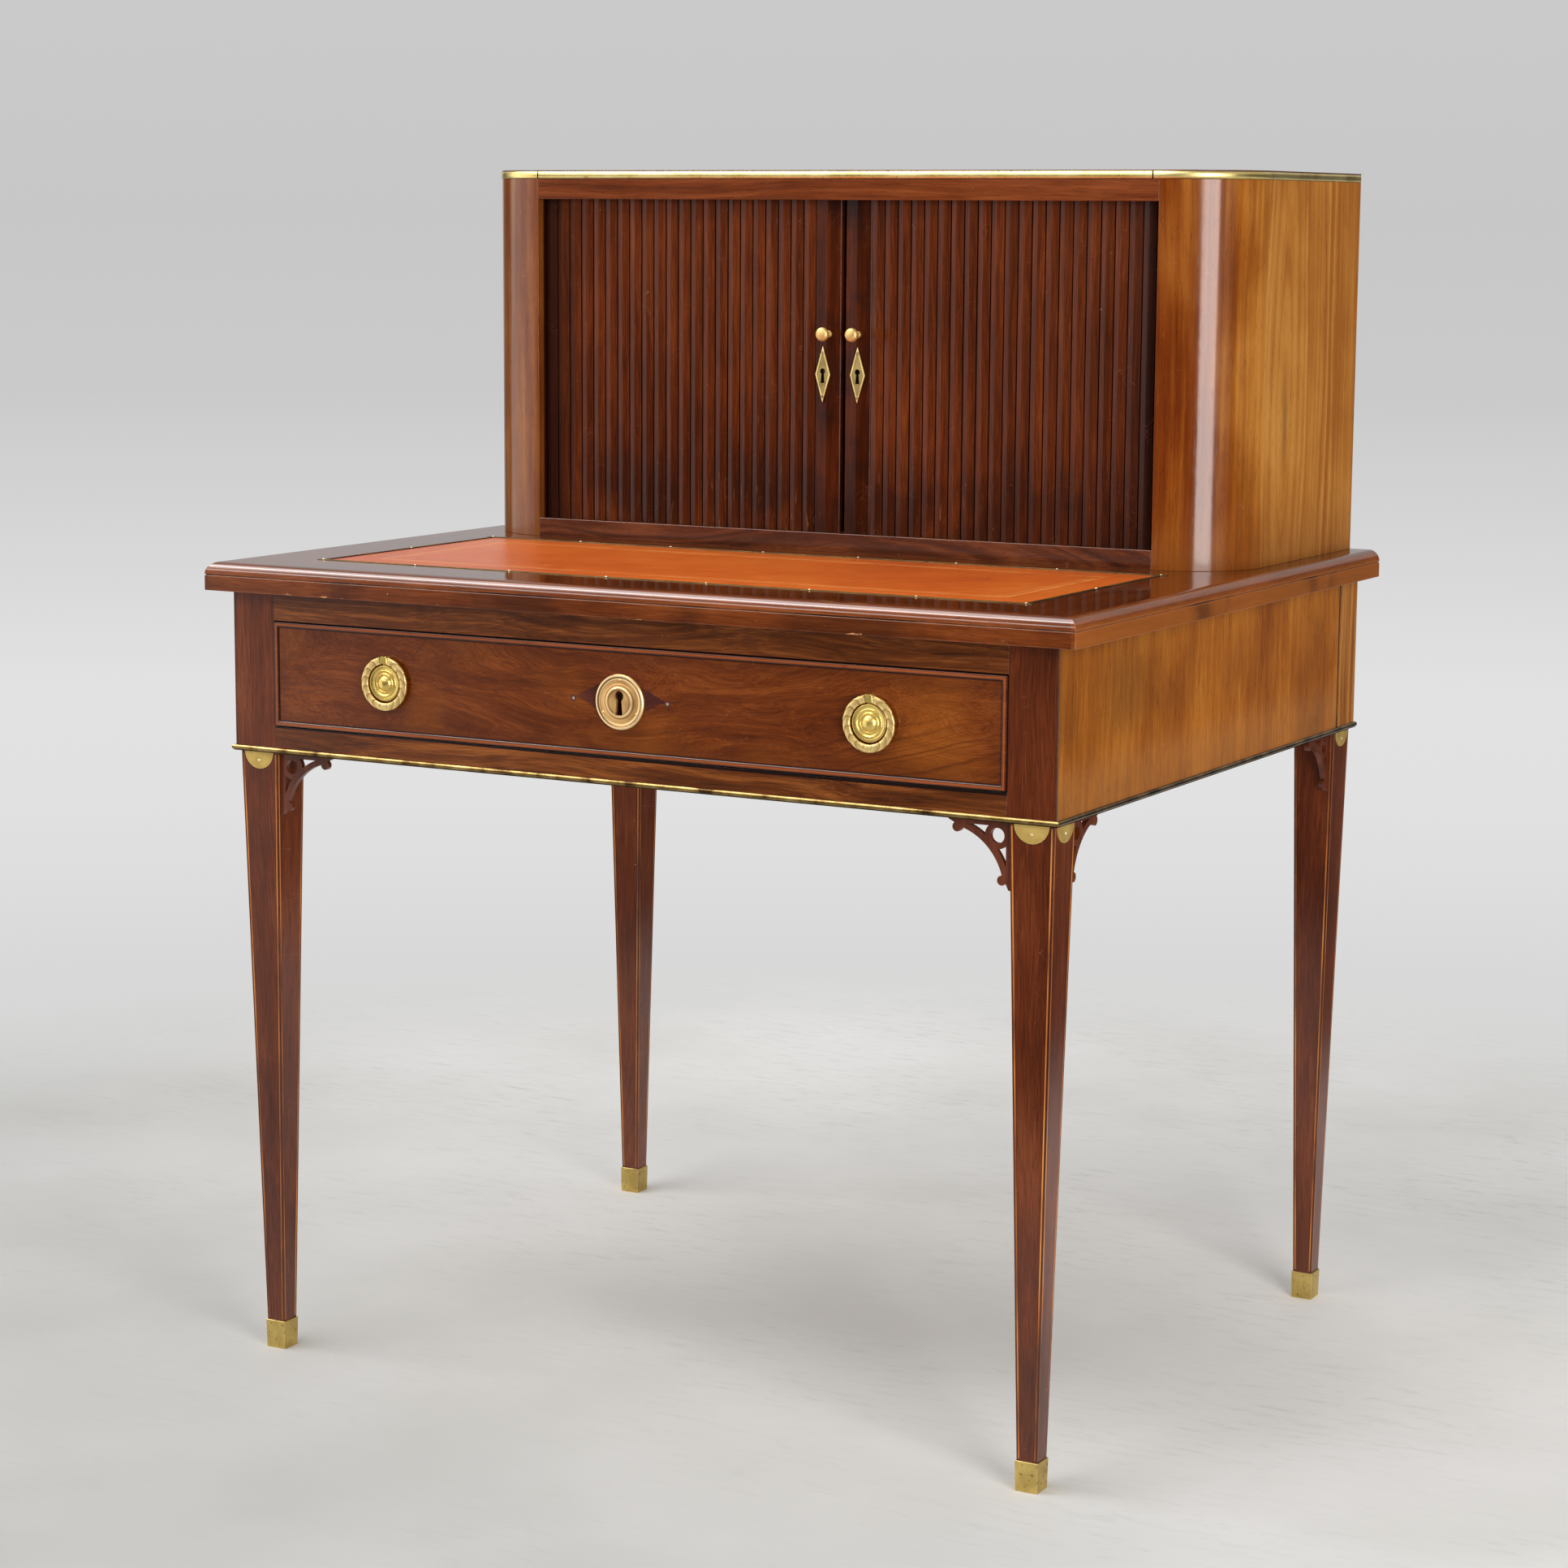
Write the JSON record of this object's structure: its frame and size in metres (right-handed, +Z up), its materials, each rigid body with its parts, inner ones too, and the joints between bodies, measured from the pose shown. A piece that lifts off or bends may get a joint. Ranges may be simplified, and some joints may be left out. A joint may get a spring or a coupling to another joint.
{
  "type": "bonheur du jour",
  "caption": "Small mahogany writing table on tapered legs with a frieze drawer, a leather field and a low cabinet closed by sliding tambour doors.",
  "frame": {"origin": "on the floor under the middle of the writing top", "axes": "+X to the right, +Y to the back, +Z up, the drawer faces -Y"},
  "size_m": [0.88, 0.71, 1.113],
  "materials": {
    "mahogany": "french polished, worn",
    "mahogany_veneer": "french polished veneer",
    "tambour_mahogany": "french polished",
    "brass": "polished, worn",
    "light_inlay": "polished inlay",
    "softwood": "bare, aged",
    "leather": "smooth, waxed",
    "cloth": "woven canvas",
    "steel": "dull"
  },
  "bodies": {
    "carcase": {"leg_front_left": "mahogany", "leg_front_right": "mahogany", "leg_back_left": "mahogany", "leg_back_right": "mahogany", "leg_stringing": "light_inlay", "shoe_front_left": "brass", "shoe_front_right": "brass", "shoe_back_left": "brass", "shoe_back_right": "brass", "half_moon_plates": "brass", "brass_pins": "brass", "side_rail_left": "mahogany_veneer", "side_rail_right": "mahogany_veneer", "back_rail": "softwood", "front_top_rail": "mahogany", "front_bottom_rail": "mahogany", "frieze_bead": "brass", "bracket_front_left": "mahogany", "bracket_front_right": "mahogany", "bracket_left_front": "mahogany", "bracket_left_back": "mahogany", "bracket_right_front": "mahogany", "bracket_right_back": "mahogany", "drawer_bearers": "softwood", "writing_top": "mahogany", "leather_panel": "leather", "leather_edge_strips": "brass", "cabinet_floor": "mahogany", "cabinet_side_left": "mahogany_veneer", "cabinet_side_right": "mahogany_veneer", "cabinet_back": "softwood", "cabinet_top": "mahogany", "cabinet_top_rail": "mahogany", "cabinet_bottom_rail": "mahogany", "cabinet_edge_strip": "brass", "inner_sides": "softwood", "cabinet_shelf": "softwood", "tambour_slats_left": "tambour_mahogany", "tambour_slats_right": "tambour_mahogany", "tambour_cloth_left": "cloth", "tambour_cloth_right": "cloth"},
    "drawer": {"drawer_front": "mahogany_veneer", "drawer_sides": "softwood", "drawer_back": "softwood", "drawer_bottom": "softwood", "drawer_cock_bead": "mahogany", "drawer_lock": "brass", "drawer_key_plate": "brass", "pull_plates": "brass"},
    "lock_bolt": {"drawer_lock_bolt": "steel"},
    "left_ring": {"ring_pull_left": "brass"},
    "right_ring": {"ring_pull_right": "brass"},
    "left_door": {"door_stile_left": "tambour_mahogany", "door_knob_left": "brass", "door_key_plate_left": "brass", "door_plate_screws_left": "brass"},
    "right_door": {"door_stile_right": "tambour_mahogany", "door_knob_right": "brass", "door_key_plate_right": "brass", "door_plate_screws_right": "brass"}
  },
  "joints": [
    {"name": "drawer_slide", "type": "slide", "parent": "carcase", "child": "drawer", "axis": [0, -1, 0], "range_m": [0, 0.4]},
    {"name": "left_ring_swing", "type": "hinge", "parent": "drawer", "child": "left_ring", "pos_m": [-0.247, -0.344, 0.6721], "axis": [-1, 0, 0], "range_deg": [0, 110]},
    {"name": "right_ring_swing", "type": "hinge", "parent": "drawer", "child": "right_ring", "pos_m": [0.247, -0.344, 0.6721], "axis": [-1, 0, 0], "range_deg": [0, 110]},
    {"name": "lock_bolt_throw", "type": "slide", "parent": "drawer", "child": "lock_bolt", "axis": [0, 0, 1], "range_m": [0, 0.012]},
    {"name": "left_door_slide", "type": "slide", "parent": "carcase", "child": "left_door", "axis": [-1, 0, 0], "range_m": [-0.0025, 0.29], "deforming": ["tambour_slats_left", "tambour_cloth_left"]},
    {"name": "right_door_slide", "type": "slide", "parent": "carcase", "child": "right_door", "axis": [1, 0, 0], "range_m": [-0.0025, 0.29], "deforming": ["tambour_slats_right", "tambour_cloth_right"]}
  ]
}
